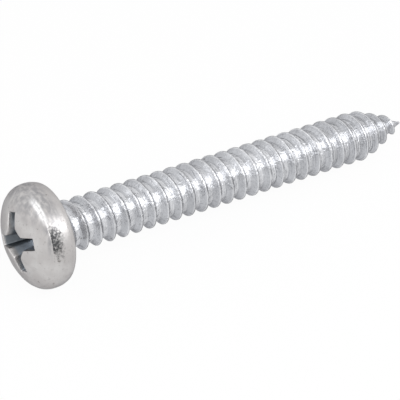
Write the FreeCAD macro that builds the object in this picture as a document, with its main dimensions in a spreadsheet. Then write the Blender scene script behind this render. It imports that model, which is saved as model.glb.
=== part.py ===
import FreeCAD, Part
import math
import os
import Sketcher
from FreeCAD import Placement, Rotation, Vector

# Sheet metal screw, size 6.3 x 50: pan head, cross recess number 3, right-hand
# spaced thread and a gimlet point. One solid, in millimetres.
# It is built upright, with the head's bearing face at height zero, the head above it
# and the point below. Its placement then lays it on the floor, as it comes to rest.

doc = FreeCAD.newDocument("SheetMetalScrew")
up = Vector(0, 0, 1)

# Driving sizes: lengths in millimetres, angles in degrees
drivingSizes = [
    ("headDiameter", 12.16, "widest circle of the pan head"),
    ("headHeight", 4.7, "bearing face to the top of the dome"),
    ("bearingDiameter", 11.1, "outer edge of the bearing face"),
    ("bandLow", 0.77, "lower edge of the widest band round the head"),
    ("bandHigh", 1.9, "upper edge of that band"),
    ("shoulderDiameter", 11.14, "soft crease between dome and side"),
    ("domeRadius", 9.45, "radius of the domed top"),
    ("neckDiameter", 5.44, "unthreaded neck, as thick as the unrolled wire"),
    ("neckLength", 1.7, "bearing face to the end of the neck"),
    ("shankLength", 50.46, "bearing face to the tip, nominal 50"),
    ("threadDiameter", 6.12, "over the crests"),
    ("threadHeight", 0.36, "crest above the ground, kept lower than the real 0.62"),
    ("threadPitch", 1.814, "fourteen turns to the inch"),
    ("flankAngle", 30.0, "each flank from the plane across the axis"),
    ("firstCrest", 2.0, "bearing face to where the crest line passes below the axis"),
    ("threadStart", 0.3, "bearing face to where the thread begins to rise"),
    ("runIn", 1.5, "length over which it rises from the neck"),
    ("pointLength", 6.3, "tapered point"),
    ("pointBend", 0.4, "how far off the full radius the cone begins to bend into it"),
    ("pointCrest", 0.65, "crest radius that the taper would reach at the tip"),
    ("pointThreadHeight", 0.3, "crest above the ground where the thread reaches the tip"),
    ("nibDiameter", 0.5, "blunt flat that ends the point"),
    ("buriedLap", 0.1, "how far forms that merge reach into each other"),
    ("runOut", 0.8, "turns over which the thread sinks into the nib"),
    ("recessSpan", 6.9, "across opposite wings at the mouth"),
    ("recessDepth", 3.4, "top of the dome to the floor of the wings"),
    ("wingWidth", 1.45, "across one wing at the mouth"),
    ("wingTaper", 26.5, "end of a wing from the axis"),
    ("wingDraft", 5.75, "side of a wing from the axis"),
    ("cornerReach", 1.55, "axis to where a wing meets the cut corners at the mouth"),
    ("middleDepth", 0.45, "pointed middle below the floor of the wings"),
    ("middleWidth", 1.3, "across the pointed middle at that floor"),
    ("middleFlat", 0.1, "across its blunt end"),
    ("recessTurn", 66.5, "turn of the wings from the direction that rests lowest"),
]


def makeSheet():
    table = doc.addObject("Spreadsheet::Sheet", "Sizes")
    for row, (name, value, note) in enumerate(drivingSizes, start=1):
        table.set(f"A{row}", name)
        table.set(f"B{row}", str(value))
        table.set(f"C{row}", note)
        table.setAlias(f"B{row}", name)
    doc.recompute()
    return table


sheet = makeSheet()


def size(name):
    return float(sheet.get(name))


def checked(feature):
    # Stop at once when a step of the construction has failed
    doc.recompute()
    if "Invalid" in feature.State or "Error" in feature.State:
        raise RuntimeError(f"{feature.Name} failed: {feature.State}")
    if feature.Shape.isNull() or not feature.Shape.isValid():
        raise RuntimeError(f"{feature.Name} has no valid shape")
    return feature


def originPlane(body, role):
    return next(part for part in body.Origin.OriginFeatures if part.Role == role)


def newSketch(body, name, role):
    sketch = body.newObject("Sketcher::SketchObject", name)
    sketch.AttachmentSupport = [(originPlane(body, role), "")]
    sketch.MapMode = "FlatFace"
    return sketch


def measure(text):
    # Number that a formula over the sheet's sizes gives now
    return float(sheet.evalExpression(text))


def bindCoordinate(sketch, kind, geometry, which, text):
    # Place one coordinate of a point from a formula; zero puts it on the axis
    if text == "0":
        axis = -2 if kind == "DistanceX" else -1
        sketch.addConstraint(Sketcher.Constraint("PointOnObject", geometry, which, axis))
        return
    value = measure(text)
    number = sketch.addConstraint(Sketcher.Constraint(kind, -1, 1, geometry, which, value))
    sketch.setExpression(f"Constraints[{number}]", text)


def drawOutline(sketch, points, segments):
    # points: name to its two coordinates as formulas over the sheet.
    # segments: (start, end) is a line; (start, end, axis, formula) is an arc that runs
    # anticlockwise, with its centre placed along one axis by the formula.
    at = {name: Vector(measure(x), measure(y), 0) for name, (x, y) in points.items()}
    placed = {}
    for segment in segments:
        start, end = at[segment[0]], at[segment[1]]
        if len(segment) == 2:
            curve = Part.LineSegment(start, end)
        else:
            centre = arcCentre(start, end, segment[2], measure(segment[3]))
            circle = Part.Circle(centre, up, (start - centre).Length)
            first = math.atan2(start.y - centre.y, start.x - centre.x)
            last = math.atan2(end.y - centre.y, end.x - centre.x)
            curve = Part.ArcOfCircle(circle, first, last)
        geometry = sketch.addGeometry(curve)
        for which, name in ((1, segment[0]), (2, segment[1])):
            if name in placed:
                link = Sketcher.Constraint("Coincident", geometry, which, *placed[name])
                sketch.addConstraint(link)
            else:
                placed[name] = (geometry, which)
                bindCoordinate(sketch, "DistanceX", geometry, which, points[name][0])
                bindCoordinate(sketch, "DistanceY", geometry, which, points[name][1])
        if len(segment) == 4:
            kind = "DistanceX" if segment[2] == "x" else "DistanceY"
            bindCoordinate(sketch, kind, geometry, 3, segment[3])


def arcCentre(start, end, axis, value):
    # Centre of the circle through both points that lies on the line axis = value
    middle = (start + end) / 2
    along = up.cross(end - start)
    step = (value - middle.x) / along.x if axis == "x" else (value - middle.y) / along.y
    return middle + along * step


def makeBlank():
    # Headed wire: dome, side that bulges to its widest circle, bearing face and neck
    body = doc.addObject("PartDesign::Body", "Blank")
    profile = newSketch(body, "BlankProfile", "XZ_Plane")
    dome = "Sizes.domeRadius"
    crease = "Sizes.shoulderDiameter / 2"
    neck = "Sizes.neckDiameter / 2"
    coneEnd = "Sizes.threadDiameter / 2 - Sizes.threadHeight - Sizes.buriedLap"
    coneDepth = f"-(Sizes.neckLength + {neck} - ({coneEnd}))"
    points = {
        "apex": ("0", "Sizes.headHeight"),
        "shoulder": (crease, f"Sizes.headHeight - {dome} + sqrt({dome}^2 - ({crease})^2)"),
        "bandTop": ("Sizes.headDiameter / 2", "Sizes.bandHigh"),
        "bandFoot": ("Sizes.headDiameter / 2", "Sizes.bandLow"),
        "bearing": ("Sizes.bearingDiameter / 2", "0"),
        "neckTop": (neck, "0"),
        "neckEnd": (neck, "-Sizes.neckLength"),
        "coneEnd": (coneEnd, coneDepth),
        "axisEnd": ("0", coneDepth),
    }
    names = list(points)
    segments = [("shoulder", "apex", "x", "0")] + list(zip(names[1:], names[2:] + names[:1]))
    drawOutline(profile, points, segments)
    turned = body.newObject("PartDesign::Revolution", "TurnedBlank")
    turned.Profile = profile
    turned.ReferenceAxis = (profile, ["V_Axis"])
    turned.Angle = 360
    checked(turned)
    return body


def taperedCrest(depth):
    # Crest radius at a depth below the bearing face: it bends softly from the full thread
    # into the cone of the point
    full = size("threadDiameter") / 2
    left = max(0.0, size("shankLength") - depth)
    cone = size("pointCrest") + (full - size("pointCrest")) * left / size("pointLength")
    bend = size("pointBend")
    if abs(full - cone) < bend:
        return full - (bend + full - cone) ** 2 / (4 * bend)
    return min(full, cone)


def coreRadius(depth):
    # The thread gets a little lower towards the tip
    left = min(1.0, max(0.0, size("shankLength") - depth) / size("pointLength"))
    height = size("pointThreadHeight") + (size("threadHeight") - size("pointThreadHeight")) * left
    return taperedCrest(depth) - height


def easeIn(share):
    share = min(1.0, max(0.0, share))
    return share * share * (3 - 2 * share)


class Thread:
    # Helical skin of the rolled thread, counted in turns from the first crest.
    # Three lines run along it: the crest and the feet of its two flanks. The strips
    # between them are ruled surfaces, one turn long.
    pointsPerTurn = 16

    def __init__(self):
        self.pitch = size("threadPitch")
        self.lap = size("buriedLap")
        # The open ends are closed inside the neck and inside the nib
        self.first = (size("neckLength") - self.lap - size("firstCrest")) / self.pitch - 1
        nibStart = size("shankLength") - size("nibDiameter")
        self.turns = int((nibStart - size("firstCrest")) / self.pitch - self.first)
        self.last = self.first + self.turns
        self.lines = {name: self.makeLine(name) for name in ("upper", "crest", "lower")}

    def depth(self, turn):
        return size("firstCrest") + self.pitch * turn

    def crestRadius(self, turn):
        depth = self.depth(turn)
        full = taperedCrest(depth)
        rise = easeIn((depth - size("threadStart")) / size("runIn"))
        fall = easeIn((self.last - turn) / size("runOut"))
        buried = coreRadius(depth) + self.lap
        return buried + (full - buried) * min(rise, fall)

    def place(self, name, turn):
        depth = self.depth(turn)
        crest = self.crestRadius(turn)
        width = (crest - coreRadius(depth)) * math.tan(math.radians(size("flankAngle")))
        depth += {"upper": -width, "crest": 0, "lower": width}[name]
        radius = crest if name == "crest" else coreRadius(depth)
        angle = 2 * math.pi * turn
        return Vector(-radius * math.cos(angle), radius * math.sin(angle), -depth)

    def makeLine(self, name):
        count = self.turns * self.pointsPerTurn
        turns = [self.first + step / self.pointsPerTurn for step in range(count + 1)]
        line = Part.BSplineCurve()
        line.interpolate(Points=[self.place(name, turn) for turn in turns], Parameters=turns)
        return line

    def strip(self, one, oneTurn, other, otherTurn):
        first = self.lines[one].toShape(oneTurn, oneTurn + 1)
        second = self.lines[other].toShape(otherTurn, otherTurn + 1)
        return Part.makeRuledSurface(first, second)

    def end(self, name, turn, profile):
        # Close an open end: a helical ramp from the free line in to the axis, and a flat
        # face across the section
        start, stop = self.lines[name].value(turn), self.lines[name].value(turn + 1)
        axis = [Vector(0, 0, start.z), Vector(0, 0, stop.z)]
        ramp = Part.makeRuledSurface(
            self.lines[name].toShape(turn, turn + 1), Part.LineSegment(*axis).toShape()
        )
        corners = [self.lines[line].value(at) for line, at in profile] + axis
        return [ramp, Part.Face(Part.makePolygon(corners + corners[:1]))]

    def solid(self):
        faces = []
        first, last = self.first, self.last
        for number in range(self.turns):
            turn = first + number
            faces.append(self.strip("upper", turn, "crest", turn))
            faces.append(self.strip("crest", turn, "lower", turn))
            if number < self.turns - 1:
                faces.append(self.strip("lower", turn, "upper", turn + 1))
        start = [("upper", first + 1), ("lower", first), ("crest", first), ("upper", first)]
        stop = [("lower", last), ("crest", last), ("upper", last), ("lower", last - 1)]
        faces += self.end("upper", first, start)
        faces += self.end("lower", last - 1, stop)
        shell = Part.Shell(faces)
        shell.sewShape()
        skin = Part.Solid(shell)
        if skin.Volume < 0:
            skin.reverse()
        return skin


def makeThread():
    thread = doc.addObject("Part::Feature", "Thread")
    thread.Shape = Thread().solid()
    return checked(thread)


def makeTip():
    # Plain blunt end of the point, a cone that closes the last turns of the thread
    body = doc.addObject("PartDesign::Body", "Tip")
    profile = newSketch(body, "TipProfile", "XZ_Plane")
    # It reaches two turns up, inside the thread
    reach = "(2 * Sizes.threadPitch)"
    slope = "((Sizes.threadDiameter / 2 - Sizes.pointCrest) / Sizes.pointLength)"
    coreThere = f"Sizes.pointCrest - Sizes.threadHeight + {slope} * {reach}"
    points = {
        "top": ("0", f"-Sizes.shankLength + {reach}"),
        "edge": (f"{coreThere} + Sizes.buriedLap", f"-Sizes.shankLength + {reach}"),
        "nib": ("Sizes.nibDiameter / 2", "-Sizes.shankLength"),
        "tip": ("0", "-Sizes.shankLength"),
    }
    names = list(points)
    drawOutline(profile, points, list(zip(names, names[1:] + names[:1])))
    turned = body.newObject("PartDesign::Revolution", "TurnedTip")
    turned.Profile = profile
    turned.ReferenceAxis = (profile, ["V_Axis"])
    turned.Angle = 360
    checked(turned)
    return body


def makeWedge(name, low, high, alongLow, alongHigh, acrossLow, acrossHigh):
    # Block between two heights whose length and width grow upwards; half sizes are given
    wedge = doc.addObject("Part::Wedge", name)
    wedge.setExpression("Ymin", low)
    wedge.setExpression("Ymax", high)
    for side, half in (("", (alongLow, acrossLow)), ("2", (alongHigh, acrossHigh))):
        wedge.setExpression(f"X{side}min", f"-({half[0]})")
        wedge.setExpression(f"X{side}max", half[0])
        wedge.setExpression(f"Z{side}min", f"-({half[1]})")
        wedge.setExpression(f"Z{side}max", half[1])
    wedge.Placement.Rotation = Rotation(Vector(1, 0, 0), 90)
    return checked(wedge)


def makePunch():
    # Tool that forms the cross recess: two crossed blocks for the four wings, a square
    # one that cuts the corners between them, and a pointed middle
    mouth = "sqrt(Sizes.domeRadius^2 - (Sizes.recessSpan / 2)^2)"
    mouthHeight = f"(Sizes.headHeight - Sizes.domeRadius + {mouth})"
    low = "(Sizes.headHeight - Sizes.recessDepth)"
    high = "(Sizes.headHeight + Sizes.buriedLap)"
    span, half, square = [], [], []
    for height in (low, high):
        rise = f"({height} - {mouthHeight})"
        draft = f"{rise} * tan(Sizes.wingDraft)"
        span.append(f"Sizes.recessSpan / 2 + {rise} * tan(Sizes.wingTaper)")
        half.append(f"Sizes.wingWidth / 2 + {draft}")
        # The cut corner joins two wings: its distance from the axis follows from both
        square.append(f"(Sizes.cornerReach + Sizes.wingWidth / 2 + 3 * {draft}) / sqrt(2)")
    wings = makeWedge("Wings", low, high, *span, *half)
    crossWings = makeWedge("CrossWings", low, high, *half, *span)
    corners = makeWedge("CutCorners", low, high, *square, *square)
    corners.Placement.Rotation = Rotation(up, 45) * corners.Placement.Rotation
    grown = "(1 + Sizes.buriedLap / Sizes.middleDepth)"
    point = (f"{low} - Sizes.middleDepth", f"{low} + Sizes.buriedLap")
    wide = ("Sizes.middleFlat / 2", f"Sizes.middleWidth / 2 * {grown}")
    middle = makeWedge("PointedMiddle", *point, *wide, *wide)
    punch = doc.addObject("Part::MultiFuse", "Punch")
    punch.Shapes = [wings, crossWings, corners, middle]
    punch.Refine = True
    punch.setExpression("Placement.Rotation.Angle", "90 - Sizes.recessTurn")
    return checked(punch)


def restTilt():
    # How far the axis dips towards the point when the head's widest band and the last
    # full crest below the axis both touch the floor, and the bearing face's height then
    full = size("shankLength") - size("pointLength")
    crests = math.floor((full - size("firstCrest")) / size("threadPitch"))
    touching = size("firstCrest") + crests * size("threadPitch")
    drop = (size("headDiameter") - size("threadDiameter")) / 2
    tilt = math.atan2(drop, touching + size("bandLow"))
    height = size("threadDiameter") / 2 * math.cos(tilt) + touching * math.sin(tilt)
    return math.degrees(tilt), height


def layDown(screw):
    # Head and thread on the floor, point along +X, origin below the middle of the length
    tilt, height = restTilt()
    lying = Rotation(Vector(0, 1, 0), tilt - 90)
    screw.Placement = Placement(Vector(0, 0, height), lying)
    doc.recompute()
    box = screw.Shape.optimalBoundingBox(False, False)
    screw.Placement = Placement(Vector(-(box.XMin + box.XMax) / 2, 0, height), lying)
    face = screw.Placement.Base
    print("tilt", round(tilt, 3), "bearing face centre", round(face.x, 4), round(face.z, 4))
    return checked(screw)


def makeScrew():
    formed = doc.addObject("Part::MultiFuse", "Formed")
    formed.Shapes = [makeBlank(), makeThread(), makeTip()]
    checked(formed)
    screw = doc.addObject("Part::Cut", "Screw")
    screw.Base = formed
    screw.Tool = makePunch()
    screw.Label = "screw"
    checked(screw)
    return layDown(screw)


def writePart(part):
    for feature in doc.Objects:
        if "Invalid" in feature.State or "Error" in feature.State:
            raise RuntimeError(f"{feature.Name} is not sound: {feature.State}")
    if part.Shape.isNull() or not part.Shape.isValid():
        raise RuntimeError(f"{part.Label} has no valid shape")
    solids = part.Shape.Solids
    if len(solids) != 1:
        raise RuntimeError(f"{part.Label} is {len(solids)} solids")
    os.makedirs("parts", exist_ok=True)
    part.Shape.exportStep(f"parts/{part.Label}.step")
    print(part.Label, "volume", round(part.Shape.Volume, 2), "faces", len(part.Shape.Faces))


writePart(makeScrew())
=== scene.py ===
import bmesh
import bpy
import math
from mathutils import Matrix, Vector, noise


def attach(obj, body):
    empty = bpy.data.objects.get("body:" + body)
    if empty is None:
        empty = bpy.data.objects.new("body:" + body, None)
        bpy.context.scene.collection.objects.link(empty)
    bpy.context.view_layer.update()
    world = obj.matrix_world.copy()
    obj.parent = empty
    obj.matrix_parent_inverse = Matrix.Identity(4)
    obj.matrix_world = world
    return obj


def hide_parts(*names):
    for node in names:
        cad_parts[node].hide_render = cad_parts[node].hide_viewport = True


# A zinc plated sheet metal screw, lying on a white floor as it comes to rest.
# The screw is modelled upright in millimetres: the bearing face of the head is at
# height zero, the head above it and the point below. The last step lays it down.

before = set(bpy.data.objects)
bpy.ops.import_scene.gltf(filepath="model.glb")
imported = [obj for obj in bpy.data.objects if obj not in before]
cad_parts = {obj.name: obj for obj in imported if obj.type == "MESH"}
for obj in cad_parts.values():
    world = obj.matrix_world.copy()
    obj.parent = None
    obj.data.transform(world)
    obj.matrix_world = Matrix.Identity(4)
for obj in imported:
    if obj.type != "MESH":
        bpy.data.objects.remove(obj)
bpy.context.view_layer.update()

# How the screw lies: the dip of its axis in degrees, and where the middle of the bearing
# face is in millimetres
lying = {"tilt": 3.883, "bearingX": -22.8587, "bearingZ": 6.0139}


def layDown():
    turn = Matrix.Rotation(math.radians(lying["tilt"] - 90), 4, "Y")
    move = Matrix.Translation((lying["bearingX"], 0, lying["bearingZ"]))
    return Matrix.Scale(0.001, 4) @ move @ turn


def mix(a, b, share):
    return a + (b - a) * share


def ease(share):
    share = min(1.0, max(0.0, share))
    return share * share * (3 - 2 * share)


def bezier(points, steps):
    # Points on a Bezier curve, the first one left out
    found = []
    for step in range(1, steps + 1):
        level = [Vector(p) for p in points]
        while len(level) > 1:
            level = [a.lerp(b, step / steps) for a, b in zip(level, level[1:])]
        found.append(level[0])
    return found


class Skin:
    # Points and faces of the screw's one closed surface
    def __init__(self):
        self.points = []
        self.faces = []

    def add(self, point):
        self.points.append(Vector(point))
        return len(self.points) - 1

    def ring(self, points):
        return [self.add(p) for p in points]

    def bridge(self, one, other):
        for i in range(len(one)):
            j = (i + 1) % len(one)
            self.faces.append((one[i], other[i], other[j], one[j]))

    def close(self, ring, point):
        middle = self.add(point)
        for i in range(len(ring)):
            self.faces.append((middle, ring[i], ring[(i + 1) % len(ring)]))

    def stitch(self, outer, inner):
        # Join two rings with different numbers of points by walking round both at once
        def sweep(index):
            return math.atan2(self.points[index].y, self.points[index].x) % (2 * math.pi)

        outer, inner = sorted(outer, key=sweep), sorted(inner, key=sweep)
        a = b = 0
        while a < len(outer) or b < len(inner):
            here, there = outer[a % len(outer)], inner[b % len(inner)]
            outerNext = (a + 1) * len(inner) <= (b + 1) * len(outer)
            if b >= len(inner) or a < len(outer) and outerNext:
                a += 1
                self.faces.append((here, outer[a % len(outer)], there))
            else:
                b += 1
                self.faces.append((there, here, inner[b % len(inner)]))


# The head. Lengths in millimetres, angles in degrees.
headSettings = {
    "radius": 6.07,            # widest circle of the pan head
    "height": 4.7,             # bearing face to the top of the dome
    "widestHeight": 1.35,
    "domeRadius": 9.45,
    "domeEdge": 4.9,           # radius where the dome's own rings end
    "domeSteps": 16,           # rings between the recess and that edge
    "shoulderStart": 4.85,     # radius where the dome starts to round into the crease
    "shoulder": 5.5,           # radius of the edge between dome and side, above a soft crease
    "creaseDrop": (0.045, -0.135),   # from that edge to the crease
    "underCrease": (0.115, -0.15),   # from the crease to where the side starts to bulge
    "lip": (5.9, 0.3),         # radius and height of the lower rim
    "bearing": 5.5,            # radius of the flat under the head
    "bearingRings": (5.1, 4.3, 3.5),   # radii of rings on that flat
    "recessSpan": 6.95,        # across opposite wings at the mouth
    "recessDepth": 3.4,
    "wingWidth": 1.4,
    "wingTaper": 26.5,         # end of a wing from the axis
    "wingDraft": 5.75,         # side of a wing from the axis
    "wingEndRounding": 0.1,
    "cornerReach": 1.55,       # axis to where a wing meets the cut corner
    "cornerRounding": 0.12,
    "floorPoint": 0.45,        # pointed middle below the floor of the wings
    "floorPointReach": 0.961,  # radius of the pointed middle
    "footRounding": (0.012, 0.09),   # heights of two rings that round the foot of the walls
    "recessTurn": 66.5,        # turn of the wings from the side that rests lowest
    "edgeRounding": 0.11,      # worn edge round the mouth of the recess
    "unevenness": 0.035,       # the cold-formed dome isn't a perfect turned surface
    "wavesPerMm": (0.55, 1.6), # its broad and its small waves
}


def domeHeight(radius):
    s = headSettings
    return s["height"] - s["domeRadius"] + math.sqrt(s["domeRadius"] ** 2 - radius ** 2)


def roundedCorner(before, corner, after, radius, steps):
    # Points that round one corner of an outline
    start = corner + (before - corner).normalized() * radius
    end = corner + (after - corner).normalized() * radius
    return [start] + bezier([start, corner, end], steps)


def wingOutline(rise):
    # One wing and half of its two corners, at a height above the mouth of the recess
    s = headSettings
    draft = rise * math.tan(math.radians(s["wingDraft"]))
    span = s["recessSpan"] / 2 + rise * math.tan(math.radians(s["wingTaper"]))
    half = s["wingWidth"] / 2 + draft
    reach = s["cornerReach"] + 2 * draft
    diagonal = Vector(((reach + half) / 2, (reach + half) / 2))
    inner, outer, end = Vector((reach, half)), Vector((span, half)), Vector((span, 0))
    path = [end] + [end.lerp(outer, k / 3) for k in (1, 2)]
    path += roundedCorner(end, outer, inner, s["wingEndRounding"], 3)
    side = roundedCorner(outer, inner, diagonal, s["cornerRounding"], 3)
    start = path[-1]
    path += [start.lerp(side[0], k / 7) for k in range(1, 7)] + side
    path += [side[-1].lerp(diagonal, k / 3) for k in (1, 2)]
    mirrored = [Vector((p.x, -p.y)) for p in reversed(path[1:])]
    return [Vector((diagonal.x, -diagonal.y))] + mirrored + path


def recessOutline(rise):
    points = []
    for number in range(4):
        degrees = 180 - headSettings["recessTurn"] + 90 * number
        turn = Matrix.Rotation(math.radians(degrees), 2)
        points += [turn @ p for p in wingOutline(rise)]
    return points


def recessRings():
    # Rings from the middle of the recess over its floor and up its walls, and the points
    # where the walls would meet the dome
    s = headSettings
    mouth = domeHeight(s["recessSpan"] / 2)
    floor = s["height"] - s["recessDepth"] - mouth
    outlines = {}

    def wallPoint(index, rise):
        key = round(rise, 4)
        if key not in outlines:
            outlines[key] = recessOutline(key)
        flat = outlines[key][index]
        return Vector((flat.x, flat.y, mouth + rise))

    foot = recessOutline(floor)
    rings = []
    for share in (0.14, 0.3, 0.46, 0.62, 0.78, 0.92):
        ring = []
        for p in foot:
            dip = s["floorPoint"] * max(0.0, 1 - p.length * share / s["floorPointReach"])
            ring.append(Vector((p.x * share, p.y * share, mouth + floor - dip)))
        rings.append(ring)
    edge = []
    for index in range(len(foot)):
        rise = 0.0
        for _ in range(12):    # close in on the height where this wall meets the dome
            flat = wallPoint(index, rise)
            rise = domeHeight(math.hypot(flat.x, flat.y)) - mouth
        edge.append(wallPoint(index, rise))
    lowest, low = (floor + lift for lift in s["footRounding"])
    rings.append([wallPoint(index, lowest) for index in range(len(foot))])
    for share in (0, 0.15, 0.35, 0.55, 0.75, 0.9, 1):
        ring = []
        for index, top in enumerate(edge):
            high = top.z - mouth - s["edgeRounding"] * 1.2
            ring.append(wallPoint(index, mix(low, high, share)))
        rings.append(ring)
    return rings, edge


def domeRings(wallTop, edge):
    # The worn edge of the recess and the dome, out to the soft crease at its shoulder
    s = headSettings
    count = len(edge)
    lengths = [0.0]
    for index in range(count):
        lengths.append(lengths[-1] + (edge[(index + 1) % count] - edge[index]).length)
    first = math.atan2(edge[0].y, edge[0].x)
    angles = []
    for index in range(count):
        share = mix(index / count, lengths[index] / lengths[-1], 0.35)
        angles.append(first + 2 * math.pi * share)
    goals = [Vector((math.cos(a), math.sin(a))) * s["domeEdge"] for a in angles]
    flat = [Vector((p.x, p.y)) for p in edge]
    outside = [p + (goal - p).normalized() * s["edgeRounding"] for p, goal in zip(flat, goals)]
    rings = []
    for share in (0.3, 0.6, 1.0):
        ring = []
        for low, corner, out in zip(wallTop, edge, outside):
            top = Vector((out.x, out.y, domeHeight(out.length)))
            ring.append(low.lerp(corner, share).lerp(corner.lerp(top, share), share))
        rings.append(ring)
    steps = s["domeSteps"]
    for step in range(1, steps - 1):
        between = [p.lerp(goal, step / steps) for p, goal in zip(outside, goals)]
        rings.append([Vector((p.x, p.y, domeHeight(p.length))) for p in between])
    return rings, angles


def sideRings(angles):
    # The crease, the bulging side, the lower rim and the bearing face, turned from a
    # profile of radius and height. Between the ends of a curve stand its handles.
    s = headSettings
    inward = Vector((s["shoulderStart"], domeHeight(s["shoulderStart"])))
    edge = Vector((s["shoulder"], domeHeight(s["shoulder"])))
    crease = edge + Vector(s["creaseDrop"])
    turned = crease + Vector(s["underCrease"])
    widest = Vector((s["radius"], s["widestHeight"]))
    lip, under = Vector(s["lip"]), Vector((s["bearing"], 0))
    profile = bezier([inward, edge, crease], 9)
    profile += bezier([crease, crease + Vector((0.015, -0.055)), turned], 4)
    bulge = [turned + Vector((0.18, -0.2)), widest + Vector((0, 0.75))]
    profile += bezier([turned] + bulge + [widest], 10)
    tuck = [widest - Vector((0, 0.6)), lip + Vector((0.12, 0.36))]
    profile += bezier([widest] + tuck + [lip], 8)
    profile += bezier([lip, lip - Vector((0.07, 0.22)), under + Vector((0.22, 0)), under], 5)
    profile += [Vector((radius, 0)) for radius in s["bearingRings"]]
    rings = []
    for radius, height in profile:
        ring = [Vector((math.cos(a) * radius, math.sin(a) * radius, height)) for a in angles]
        rings.append(ring)
    return rings


def addHead(skin):
    s = headSettings
    recess, edge = recessRings()
    dome, angles = domeRings(recess[-1], edge)
    broad, small = s["wavesPerMm"]
    rings = []
    for points in recess + dome + sideRings(angles):
        for p in points:
            wave = noise.noise(p * broad + Vector((3, 1, 7))) + 0.4 * noise.noise(p * small)
            # The waves mostly sink into the dome, and fade out towards the bearing face
            p.z -= s["unevenness"] * (wave + 0.8) * ease((p.z - 0.6) / 1.5)
        rings.append(skin.ring(points))
    skin.close(rings[0], (0, 0, s["height"] - s["recessDepth"] - s["floorPoint"]))
    for one, other in zip(rings, rings[1:]):
        skin.bridge(one, other)
    return rings[-1]


# The shank and its thread. Lengths in millimetres; a depth counts from the bearing face.
shankSettings = {
    "neckRadius": 2.72,
    "neckFillet": 0.35,
    "neckEnd": 0.75,           # depth where the ground begins to sink below the neck
    "groundFall": 0.85,        # length over which it sinks
    "threadStart": 0.3,
    "runIn": 1.5,              # length over which the thread rises out of the neck
    "crestRadius": 3.05,
    "groundRadius": 2.44,
    "pitch": 1.814,            # fourteen turns to the inch
    "firstCrest": 1.995,       # depth of the crest on the side that rests lowest
    "crestFlat": 0.05,         # half width of the crest
    "crestRounding": 0.02,
    "headFlank": 36.0,         # degrees of the flank on the head's side from the cross plane
    "pointFlank": 30.0,
    "footRise": 0.07,          # the ground curves up towards the feet of the flanks
    "length": 50.46,           # bearing face to the tip
    "pointLength": 6.3,
    "pointCrest": 0.65,        # crest radius that the taper would reach at the tip
    "pointGround": 0.08,
    "pointBend": 0.3,          # how softly the thread bends into the point
    "threadEnd": 49.6,
    "runOut": 0.9,             # length over which the thread sinks before its end
    "nibTop": 0.45,            # height of the plain nib that ends the point
    "nibRings": ((0.3, 0.2), (0.16, 0.18), (0.07, 0.14), (0.015, 0.07)),   # height, radius
    "nibUnevenness": 0.12,
    "crestWaver": 0.022,       # uneven height of the rolled crest
    "waversPerTurn": 5.1,
    "dents": 0.012,
    "dentsPerMm": 0.9,
    "stepsPerTurn": 80,
}


def taper(depth, full, atTip):
    # A radius that stays full along the shank and runs down to another at the tip
    s = shankSettings
    cone = atTip + (full - atTip) * max(0.0, s["length"] - depth) / s["pointLength"]
    bend = s["pointBend"]
    if abs(full - cone) < bend:
        return full - (bend + full - cone) ** 2 / (4 * bend)
    return min(full, cone)


def shankRadius(depth, offset, turn):
    # Radius at a depth, for a point that lies offset from the nearest crest line
    s = shankSettings
    ground = taper(depth, s["groundRadius"], s["pointGround"])
    neck = s["neckRadius"] + s["neckFillet"] * max(0.0, 1 - depth / s["neckFillet"]) ** 2
    ground = mix(neck, ground, ease((depth - s["neckEnd"]) / s["groundFall"]))
    crest = taper(depth, s["crestRadius"], s["pointCrest"])
    waver = noise.noise(Vector((turn * s["waversPerTurn"], 1.7, 0)))
    crest -= s["crestWaver"] * abs(waver)
    rise = ease((depth - s["threadStart"]) / s["runIn"])
    fall = ease((s["threadEnd"] - depth) / s["runOut"])
    height = max(0.0, crest - ground) * min(rise, fall)
    if height < 1e-5:
        return ground
    flank = s["headFlank"] if offset < 0 else s["pointFlank"]
    foot = s["crestFlat"] + height * math.tan(math.radians(flank))
    half = s["pitch"] / 2
    away = abs(offset)
    lifted = ground + s["footRise"] * min(1.0, height / 0.5)
    if away >= foot:
        return mix(ground, lifted, (1 - (away - foot) / (half - foot)) ** 3)
    if away > s["crestFlat"]:
        share = (away - s["crestFlat"]) / (foot - s["crestFlat"])
        return mix(ground + height, lifted, share)
    return ground + height - s["crestRounding"] * (away / s["crestFlat"]) ** 2


def profileOffsets(depth):
    # Offsets from the crest line of the rows in one pitch
    s = shankSettings
    height = taper(depth, s["crestRadius"], s["pointCrest"])
    height -= taper(depth, s["groundRadius"], s["pointGround"])
    half = s["pitch"] / 2
    sides = []
    for flank in (s["headFlank"], s["pointFlank"]):
        foot = s["crestFlat"] + height * math.tan(math.radians(flank))
        marks = [s["crestFlat"]]
        marks += [mix(s["crestFlat"], foot, share) for share in (0.25, 0.5, 0.75, 0.95)]
        sides.append(marks + [mix(foot, half, share) for share in (0.08, 0.22, 0.45, 0.72)])
    return [-half] + [-m for m in reversed(sides[0])] + [0] + sides[1] + [half]


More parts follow.
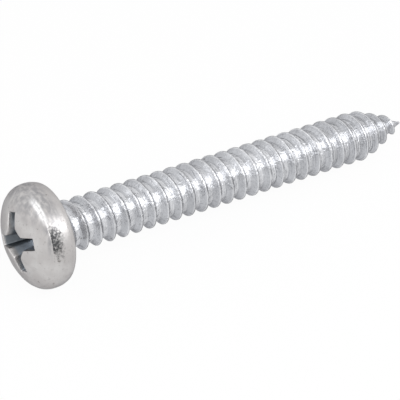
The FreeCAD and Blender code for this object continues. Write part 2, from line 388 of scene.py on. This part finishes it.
def addShank(skin):
    # A grid that follows the crest line: a row one pitch on joins the next turn. Rows
    # that would pass the bearing face or the nib stop there and share their points.
    s = shankSettings
    steps = s["stepsPerTurn"]
    turns = range(-3, int(s["length"] / s["pitch"]) + 3)
    bottom = round(s["length"] - s["nibTop"], 5)
    found = {}
    grid = []
    for column in range(steps):
        angle = 2 * math.pi * column / steps
        outward = Vector((-math.cos(angle), math.sin(angle), 0))
        line = []
        for turn in turns:
            crestDepth = s["firstCrest"] + s["pitch"] * (turn + column / steps)
            for offset in profileOffsets(min(max(crestDepth, 0), s["length"]))[:-1]:
                depth = min(max(crestDepth + offset, 0.0), bottom)
                shift = depth - crestDepth
                shift -= s["pitch"] * round(shift / s["pitch"])
                ended = depth in (0.0, bottom)
                key = (column, depth if ended else len(line), ended)
                if key not in found:
                    down = Vector((0, 0, -depth))
                    radius = shankRadius(depth, shift, turn + column / steps)
                    dent = 0.5 + noise.noise((outward * radius + down) * s["dentsPerMm"])
                    radius -= s["dents"] * dent * ease(depth - 0.5)
                    found[key] = skin.add(outward * radius + down)
                line.append(found[key])
        grid.append(line)
    rowsPerTurn = len(grid[0]) // len(turns)
    for column in range(steps):
        after = (column + 1) % steps
        shift = rowsPerTurn if after == 0 else 0
        for row in range(len(grid[0]) - 1 - shift):
            loop = [grid[column][row], grid[after][row + shift]]
            loop += [grid[after][row + 1 + shift], grid[column][row + 1]]
            kept = [v for k, v in enumerate(loop) if v != loop[k - 1]]
            if len(kept) > 2:
                skin.faces.append(tuple(kept))
    top = [found[column, 0.0, True] for column in range(steps)]
    end = [found[column, bottom, True] for column in range(steps)]
    return top, end


def addNib(skin, ring):
    # The nib that ends the point is small, blunt and uneven
    s = shankSettings
    for above, radius in s["nibRings"]:
        points = []
        for column in range(s["stepsPerTurn"]):
            angle = 2 * math.pi * column / s["stepsPerTurn"]
            spot = Vector((math.cos(angle), math.sin(angle), above * 4))
            size = radius * (1 + s["nibUnevenness"] * noise.noise(spot))
            height = above - s["length"]
            points.append((-math.cos(angle) * size, math.sin(angle) * size, height))
        after = skin.ring(points)
        skin.bridge(ring, after)
        ring = after
    skin.close(ring, (0, 0, -s["length"]))


def makeScrew(material):
    s = shankSettings
    skin = Skin()
    under = addHead(skin)
    top, end = addShank(skin)
    skin.stitch(under, top)
    addNib(skin, end)
    place = layDown()
    mesh = bpy.data.meshes.new("screw")
    mesh.from_pydata([place @ p for p in skin.points], [], skin.faces)
    shaped = bmesh.new()
    shaped.from_mesh(mesh)
    bmesh.ops.recalc_face_normals(shaped, faces=shaped.faces)
    openEdges = [e for e in shaped.edges if len(e.link_faces) != 2]
    print("screw", len(shaped.faces), "faces,", len(openEdges), "open edges")
    for face in shaped.faces:
        face.smooth = True
    shaped.to_mesh(mesh)
    shaped.free()
    # For the finish to follow: where each point is on the upright screw, and how it lies
    # to the crest line, as a direction that goes round once per pitch
    upright = mesh.attributes.new("upright", "FLOAT_VECTOR", "POINT")
    rolled = mesh.attributes.new("rolled", "FLOAT_VECTOR", "POINT")
    for index, p in enumerate(skin.points):
        turn = (-p.z - s["firstCrest"]) / s["pitch"] * 2 * math.pi - math.atan2(p.y, -p.x)
        upright.data[index].vector = p
        rolled.data[index].vector = (math.cos(turn), math.sin(turn), p.z)
    mesh.materials.append(material)
    screw = bpy.data.objects.new("dressedScrew", mesh)
    bpy.context.scene.collection.objects.link(screw)
    return screw


# The finish. Its patterns and zones go by these measures of the upright screw: up, side,
# height and radius in millimetres, with up and radius across the axis; angle in radians
# round the head, from its lowest side; crest, which is 1 on the crest line; and flank,
# which is -1 on the flank towards the head and 1 on the one towards the point.
finishSettings = {
    "head": "#CCCAC9",         # bright zinc, a little warmer where the head was pressed
    "headDull": "#C0BDBC",
    "thread": "#DCDDE0",       # fresh rolled zinc has a faint blue
    "threadDull": "#CDCED1",
    "flank": "#DCDDDF",        # painted shade: the flank towards the head is painted darker, for the darker surroundings it reflects
    "crest": "#7C7C80",        # painted shade: a thin dark line on the rolled crest stands for the shade where it hides the root behind, broken here and there
    "recess": "#A3A9B0",       # the recess has a bluer skin, painted darker as shade in the hollow
    # painted light and painted shade on parts of the recess
    "recessPaintedLight": "#E6EEF6",
    "recessPaintedShade": "#6E7378",
    "darkReflection": "#434446",        # painted dark reflection: a mottled dark patch on the head's side, below the highlight
    "smear": "#85858A",        # faint smears on the dome's upper rim and beside the patch
    "paintedHighlight": "#FAFAFA",         # painted highlight: the edge of the dome near the top is painted near white, where the lamps make a bright arc
    "pit": "#55504A",
    "edge": "#B2B2B4",         # how the metal darkens where it is seen at a slant
    "headRoughness": 0.04,     # how much rougher the head is than the thread
    "skinRoughness": 0.15,     # and the patch and the recess than the rest
    "whiteZinc": 0.55,         # how far part of the recess is dull with white zinc
    "whiteZincRoughness": 0.22,
    "relief": 0.062,           # height of the grain and the marks, in millimetres
    "headGrain": 0.15,         # share of the grain's relief that the head has
    "darkReflectionReach": 2.0,         # how much the mottle breaks up the patch
    "darkReflectionDepth": 0.95,
    "markWidth": 0.17,         # millimetres; real rolling marks are finer, these show
    "markLength": 6.04,
    "smearSize": (1.43, 0.67, 0.33),   # up, to the side and along the axis
    # Noise: the size in millimetres and the number of finer layers
    "patterns": {
        "cloud": (2.0, 3.0),        # soft clouds of duller zinc
        "grain": (0.294, 3.0),      # real zinc grain is too fine to show, so this is coarser
        "crestBreak": (0.77, 2.0),  # breaks in the painted shade line on the crest
        "mottle": (0.278, 4.0),     # specks of the dark patch
        "highlightBreakup": (0.385, 4.0),    # breaks up the painted highlight on the dome's edge
        "pitting": (0.5, 2.0),      # dark pits, less than half a millimetre across
        "coarseness": (1.11, 2.0),  # stretches where the grain is stronger or weaker
    },
    # A zone is where all its limits hold: each gives the measure or pattern, where it
    # fades in, where it is full and, if these aren't 0 and 1, the least and the most
    "zones": {
        "dull": [("cloud", 0.35, 0.65)],
        "thread": [("height", 0.1, -0.4)],     # the change lies just under the head
        "head": [("height", -0.4, 0.1)],
        "roughness": [("grain", 0.3, 0.7, 0.26, 0.38)],
        "grainTone": [("grain", 0.3, 0.7, 0.78, 1.18)],     # darkest and lightest grains
        "grainPaint": [("height", 0.1, -0.4, 0.05, 0.25)],  # stronger on the thread
        # Painted shade on the flank towards the head
        "flank": [("flank", -0.3, -0.6), ("height", 0.1, -0.4, 0.0, 0.85)],
        # A thin line of painted shade on the crest
        "crest": [("crest", 0.955, 0.985), ("crestBreak", 0.4, 0.55, 0.25, 0.75),
                  ("height", 0.1, -0.4)],
        "recess": [("radius", 3.75, 3.6), ("height", 4.0, 3.6), ("height", 0.5, 0.6)],
        # Parts of the recess, which get painted light and painted shade
        "topWing": [("up", 1.0, 1.6)],
        "topWingEnd": [("up", 2.55, 2.95)],
        "farWing": [("side", 1.0, 1.7)],
        "middle": [("radius", 1.35, 0.95), ("up", 0.6, 0.0)],
        # The dark patch is cut off at the crease
        "patch": [("angle", -2.42, -2.15), ("angle", -1.5, -1.95), ("height", 2.84, 2.78),
                  ("height", 1.0, 2.6)],
        # Where the mottled patch becomes the painted dark reflection
        "darkReflection": [("mottledPatch", 1.15, 2.05)],
        "streaks": [("smearing", 0.25, 0.68)],
        "rim": [("up", 2.6, 4.8), ("height", 0.5, 1.8, 0.0, 0.6)],
        "abovePatch": [("angle", -2.42, -2.15), ("angle", -1.5, -1.95),
                       ("height", 2.84, 2.88), ("height", 3.3, 3.0, 0.0, 0.7)],
        # The painted highlight on the dome's edge near the top
        "paintedHighlight": [("radius", 5.1, 5.45), ("radius", 5.8, 5.62), ("angle", -3.14, -2.85),
                 ("angle", -2.3, -2.6), ("height", 2.2, 2.5),
                 ("highlightBreakup", 0.3, 0.6, 0.35, 0.9)],
        "pits": [("pitting", 0.69, 0.77, 0.0, 0.6)],
        "grainRelief": [("height", 0.1, -0.4), ("coarseness", 0.42, 0.6, 0.35, 1.45)],
        "markRelief": [("height", -26.0, -44.0, 0.9, 3.5), ("height", 0.1, -0.4)],
    },
}


def linear(hexText):
    parts = [int(hexText[k:k + 2], 16) / 255 for k in (1, 3, 5)]
    return [p / 12.92 if p <= 0.04045 else ((p + 0.055) / 1.055) ** 2.4 for p in parts] + [1]


def addNode(tree, kind, settings=None, links=None):
    # One node with its settings and the links into it. A name is a setting, a socket or a
    # socket's number; a link comes from a socket, or from the first output that a node uses.
    node = tree.nodes.new(kind)

    def socket(name):
        if isinstance(name, int):
            return node.inputs[name]
        return next((i for i in node.inputs if i.name == name and i.enabled), None)

    for name, value in (settings or {}).items():
        target = socket(name)
        if target is None:
            setattr(node, name, value)
        else:
            target.default_value = value
    for name, source in (links or {}).items():
        if isinstance(source, bpy.types.Node):
            source = next(output for output in source.outputs if output.enabled)
        tree.links.new(source, socket(name))
    return node


def newMaterial(name):
    material = bpy.data.materials.new(name)
    material.use_nodes = True
    material.node_tree.nodes.clear()
    return material, material.node_tree


def zincPlatedSteel():
    # Satin bright zinc on cold-formed steel: it reflects the white room softly, with fine
    # grains that glint, rolling marks along the thread and a few dark pits
    s = finishSettings
    material, tree = newMaterial("zincPlatedSteel")
    upright = addNode(tree, "ShaderNodeAttribute", {"attribute_name": "upright"})
    upright = upright.outputs["Vector"]
    rolled = addNode(tree, "ShaderNodeAttribute", {"attribute_name": "rolled"})
    rolled = rolled.outputs["Vector"]

    # What the patterns and zones go by
    axes = addNode(tree, "ShaderNodeSeparateXYZ", None, {0: upright}).outputs
    phase = addNode(tree, "ShaderNodeSeparateXYZ", None, {0: rolled}).outputs
    settings = {"operation": "MULTIPLY", 1: (1, 1, 0)}
    outward = addNode(tree, "ShaderNodeVectorMath", settings, {0: upright})
    radius = addNode(tree, "ShaderNodeVectorMath", {"operation": "LENGTH"}, {0: outward})
    down = addNode(tree, "ShaderNodeMath", {"operation": "MULTIPLY", 1: -1.0}, {0: axes[0]})
    angle = addNode(tree, "ShaderNodeMath", {"operation": "ARCTAN2"}, {0: axes[1], 1: down})
    measures = {"up": axes[0], "side": axes[1], "height": axes[2], "radius": radius,
                "angle": angle, "crest": phase[0], "flank": phase[1]}
    for name, (size, detail) in s["patterns"].items():
        settings = {"Scale": 1 / size, "Detail": detail}
        measures[name] = addNode(tree, "ShaderNodeTexNoise", settings, {"Vector": upright})

    # Rolling marks are narrow across the thread and long along it, and smears are long
    # towards the rim, so their noise is stretched
    pitch = shankSettings["pitch"]
    girth = 2 * math.pi * shankSettings["groundRadius"]
    across = pitch / (2 * math.pi * s["markWidth"])
    markScale = (across, across, girth / (pitch * s["markLength"]))
    smearScale = [1 / size for size in s["smearSize"]]
    stretches = [("marking", rolled, markScale, 3.0), ("smearing", upright, smearScale, 2.5)]
    for name, source, scale, detail in stretches:
        settings = {"operation": "MULTIPLY", 1: scale}
        stretched = addNode(tree, "ShaderNodeVectorMath", settings, {0: source})
        settings = {"Scale": 1.0, "Detail": detail}
        measures[name] = addNode(tree, "ShaderNodeTexNoise", settings, {"Vector": stretched})

    def zone(name):
        # How far all limits of a zone hold, with soft edges
        whole = None
        for measure, start, full, *strength in s["zones"][name]:
            least, most = strength or (0.0, 1.0)
            settings = {"interpolation_type": "SMOOTHSTEP", "From Min": start,
                        "From Max": full, "To Min": least, "To Max": most}
            share = addNode(tree, "ShaderNodeMapRange", settings, {"Value": measures[measure]})
            if whole is not None:
                links = {0: whole, 1: share}
                share = addNode(tree, "ShaderNodeMath", {"operation": "MULTIPLY"}, links)
            whole = share
        return whole

    # The painted dark reflection is a mottled patch: a zone whose edge the specks break up
    settings = {"operation": "MULTIPLY_ADD", 1: s["darkReflectionReach"]}
    links = {0: measures["mottle"], 2: zone("patch")}
    measures["mottledPatch"] = addNode(tree, "ShaderNodeMath", settings, links)
    darkReflection = zone("darkReflection")
    settings = {"operation": "MULTIPLY", 1: s["darkReflectionDepth"]}
    darkReflectionPaint = addNode(tree, "ShaderNodeMath", settings, {0: darkReflection})

    # Smears lie on the upper rim and beside the patch
    links = {0: zone("rim"), 1: zone("abovePatch")}
    smeared = addNode(tree, "ShaderNodeMath", {"operation": "ADD"}, links)
    links = {0: zone("streaks"), 1: smeared}
    smear = addNode(tree, "ShaderNodeMath", {"operation": "MULTIPLY"}, links)

    # The recess has painted light in its top wing and middle, and painted shade in two of its
    # wings
    recess = zone("recess")
    links = {0: zone("topWing"), 1: zone("middle")}
    paintedLightZones = addNode(tree, "ShaderNodeMath", {"operation": "MAXIMUM"}, links)
    links = {0: zone("farWing"), 1: zone("topWingEnd")}
    paintedShadeZones = addNode(tree, "ShaderNodeMath", {"operation": "MAXIMUM"}, links)
    settings = {"data_type": "RGBA", "A": linear(s["recess"]), "B": linear(s["recessPaintedLight"])}
    recessTone = addNode(tree, "ShaderNodeMix", settings, {0: paintedLightZones})
    settings = {"data_type": "RGBA", "B": linear(s["recessPaintedShade"])}
    links = {0: paintedShadeZones, "A": recessTone}
    recessTone = addNode(tree, "ShaderNodeMix", settings, links)

    # Head and thread each have their own zinc, with clouds in it
    dull = zone("dull")
    settings = {"data_type": "RGBA", "A": linear(s["head"]), "B": linear(s["headDull"])}
    headTone = addNode(tree, "ShaderNodeMix", settings, {0: dull})
    settings = {"data_type": "RGBA", "A": linear(s["thread"]), "B": linear(s["threadDull"])}
    threadTone = addNode(tree, "ShaderNodeMix", settings, {0: dull})

    # Everything else is painted over the head's zinc, one layer after another
    layers = [("MIX", threadTone, zone("thread")),
              ("MULTIPLY", zone("grainTone"), zone("grainPaint")),
              # The flank towards the head gets painted shade
              ("MULTIPLY", "flank", zone("flank")),
              # The crest gets a thin line of painted shade
              ("MIX", "crest", zone("crest")),
              # The recess gets its bluer skin, painted darker as shade, with painted light and
              # painted shade on its parts
              ("MIX", recessTone, recess),
              # The head's side gets a painted dark reflection
              ("MIX", "darkReflection", darkReflectionPaint),
              ("MIX", "smear", smear),
              # The dome's edge near the top gets a painted highlight
              ("MIX", "paintedHighlight", zone("paintedHighlight")),
              ("MIX", "pit", zone("pits"))]
    colour = headTone
    for how, over, share in layers:
        settings = {"data_type": "RGBA", "blend_type": how}
        links = {0: share, "A": colour}
        if isinstance(over, str):
            settings["B"] = linear(s[over])
        else:
            links["B"] = over
        colour = addNode(tree, "ShaderNodeMix", settings, links)

    # Roughness follows the grain; head, patch, recess and white zinc add to it
    rough = zone("roughness")
    links = {0: darkReflection, 1: recess}
    skin = addNode(tree, "ShaderNodeMath", {"operation": "MAXIMUM"}, links)
    links = {0: recess, 1: paintedLightZones}
    whiteZinc = addNode(tree, "ShaderNodeMath", {"operation": "MULTIPLY"}, links)
    rougher = [(zone("head"), "headRoughness"), (skin, "skinRoughness"),
               (whiteZinc, "whiteZincRoughness")]
    for share, name in rougher:
        settings = {"operation": "MULTIPLY_ADD", 1: s[name]}
        rough = addNode(tree, "ShaderNodeMath", settings, {0: share, 2: rough})
    settings = {"operation": "MULTIPLY_ADD", 1: -s["whiteZinc"], 2: 1.0}
    metallic = addNode(tree, "ShaderNodeMath", settings, {0: whiteZinc})

    # The grain comes and goes along the thread, and the marks get stronger to the point
    settings = {"operation": "ADD", 1: s["headGrain"]}
    relief = addNode(tree, "ShaderNodeMath", settings, {0: zone("grainRelief")})
    links = {0: measures["grain"], 1: relief}
    relief = addNode(tree, "ShaderNodeMath", {"operation": "MULTIPLY"}, links)
    links = {0: measures["marking"], 1: zone("markRelief"), 2: relief}
    relief = addNode(tree, "ShaderNodeMath", {"operation": "MULTIPLY_ADD"}, links)
    settings = {"Strength": 1.0, "Distance": s["relief"] / 1000}
    bump = addNode(tree, "ShaderNodeBump", settings, {"Height": relief})

    links = {"Base Color": colour, "Roughness": rough, "Normal": bump, "Metallic": metallic}
    settings = {"Specular Tint": linear(s["edge"])}
    shader = addNode(tree, "ShaderNodeBsdfPrincipled", settings, links)
    addNode(tree, "ShaderNodeOutputMaterial", None, {"Surface": shader})
    return material


# The studio: a white floor and room, two softboxes and a grey card. Lengths in metres.
roomSettings = {
    "floorSize": 4.0,
    "paper": "#F4F4F4",
    "floorGlow": 0.94,         # share of plain white in the floor, the rest takes shadow
    "roomLight": 0.7,
    # Lamps: the way to each, its distance, its size along and across the screw, its power
    "longSoftbox": ((-0.04, -0.73, 0.68), 0.4, (1.0, 0.22), 1.45),
    "frontSoftbox": ((-0.82, 0.2, 0.54), 0.4, (0.14, 0.14), 0.08),
    "card": "#333335",         # grey card below the camera, only seen as a reflection
    "cardFoot": (-0.19, -0.36, 0.0),
    "cardSize": (0.2, 0.12),
}


def seenDirectly(tree):
    # 1 for rays from the camera, a reflection or a clear body, 0 for light that falls
    path = addNode(tree, "ShaderNodeLightPath").outputs
    links = {0: path["Is Camera Ray"], 1: path["Is Glossy Ray"]}
    seen = addNode(tree, "ShaderNodeMath", {"operation": "MAXIMUM"}, links)
    links = {0: seen, 1: path["Is Transmission Ray"]}
    return addNode(tree, "ShaderNodeMath", {"operation": "MAXIMUM"}, links)


def whitePaper():
    # A seamless roll of white paper: even and without gloss, it keeps a faint shadow
    s = roomSettings
    material, tree = newMaterial("whitePaper")
    paper = addNode(tree, "ShaderNodeBsdfDiffuse", {"Color": linear(s["paper"])})
    glow = addNode(tree, "ShaderNodeEmission", {"Color": (1, 1, 1, 1), "Strength": 1.0})
    settings = {"operation": "MULTIPLY", 1: s["floorGlow"]}
    share = addNode(tree, "ShaderNodeMath", settings, {0: seenDirectly(tree)})
    both = addNode(tree, "ShaderNodeMixShader", None, {0: share, 1: paper, 2: glow})
    addNode(tree, "ShaderNodeOutputMaterial", None, {"Surface": both})
    return material


def greyCard():
    # Grey card: matt and even, it puts a soft dark streak into the metal
    material, tree = newMaterial("greyCard")
    grey = addNode(tree, "ShaderNodeBsdfDiffuse", {"Color": linear(roomSettings["card"])})
    addNode(tree, "ShaderNodeOutputMaterial", None, {"Surface": grey})
    return material


def addSheet(name, corners, material):
    # A flat sheet of the studio
    mesh = bpy.data.meshes.new(name)
    mesh.from_pydata(corners, [], [(0, 1, 2, 3)])
    mesh.materials.append(material)
    sheet = bpy.data.objects.new(name, mesh)
    bpy.context.scene.collection.objects.link(sheet)


def addFloor():
    half = roomSettings["floorSize"] / 2
    corners = [(-half, -half, 0), (half, -half, 0), (half, half, 0), (-half, half, 0)]
    addSheet("floor", corners, whitePaper())


def addCard():
    s = roomSettings
    foot = Vector(s["cardFoot"])
    width, height = s["cardSize"]
    side = foot.cross(Vector((0, 0, 1))).normalized() * width / 2
    rise = Vector((0, 0, height))
    corners = [foot - side, foot + side, foot + side + rise, foot - side + rise]
    addSheet("card", corners, greyCard())


def makeRoom():
    world = bpy.data.worlds.new("studio")
    bpy.context.scene.world = world
    world.use_nodes = True
    tree = world.node_tree
    tree.nodes.clear()
    settings = {"Color": (1, 1, 1, 1), "Strength": roomSettings["roomLight"]}
    room = addNode(tree, "ShaderNodeBackground", settings)
    settings = {"Color": (1, 1, 1, 1), "Strength": 1.0}
    white = addNode(tree, "ShaderNodeBackground", settings)
    links = {0: seenDirectly(tree), 1: room, 2: white}
    both = addNode(tree, "ShaderNodeMixShader", None, links)
    addNode(tree, "ShaderNodeOutputWorld", None, {"Surface": both})


def addSoftbox(name):
    direction, distance, size, power = roomSettings[name]
    lamp = bpy.data.lights.new(name, "AREA")
    lamp.shape = "RECTANGLE"
    lamp.size, lamp.size_y = size
    lamp.energy = power
    softbox = bpy.data.objects.new(name, lamp)
    bpy.context.scene.collection.objects.link(softbox)
    away = Vector(direction).normalized()
    side = (Vector((1, 0, 0)) - away * away.x).normalized()
    turn = Matrix((side, away.cross(side), away)).transposed().to_4x4()
    softbox.matrix_world = Matrix.Translation(away * distance) @ turn


# The camera looks from the head's side, 33 degrees above the floor, through a long lens
cameraSettings = {
    "sensor": 36,              # millimetres
    "lens": 211.755,
    "place": (-0.13379628, -0.18653696, 0.15277958),   # metres
    "forward": (0.48128852, 0.68268925, -0.5498152),
    "right": (0.81731154, -0.57619601, 0),
    "clip": (0.01, 10),
}


def addCamera():
    s = cameraSettings
    lens = bpy.data.cameras.new("camera")
    lens.sensor_width = s["sensor"]
    lens.lens = s["lens"]
    lens.clip_start, lens.clip_end = s["clip"]
    camera = bpy.data.objects.new("camera", lens)
    bpy.context.scene.collection.objects.link(camera)
    forward = Vector(s["forward"]).normalized()
    right = Vector(s["right"]).normalized()
    up = right.cross(forward).normalized()
    turn = Matrix((right, up, -forward)).transposed().to_4x4()
    camera.matrix_world = Matrix.Translation(s["place"]) @ turn
    bpy.context.scene.camera = camera


screw = makeScrew(zincPlatedSteel())
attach(screw, "root")
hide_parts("screw")
print("screw made")
addFloor()
makeRoom()
print("floor and room made")
addSoftbox("longSoftbox")
addSoftbox("frontSoftbox")
addCard()
print("softboxes and card set up")
addCamera()
bpy.context.scene.view_settings.view_transform = "Standard"
print("camera set up")
print("scene ready")
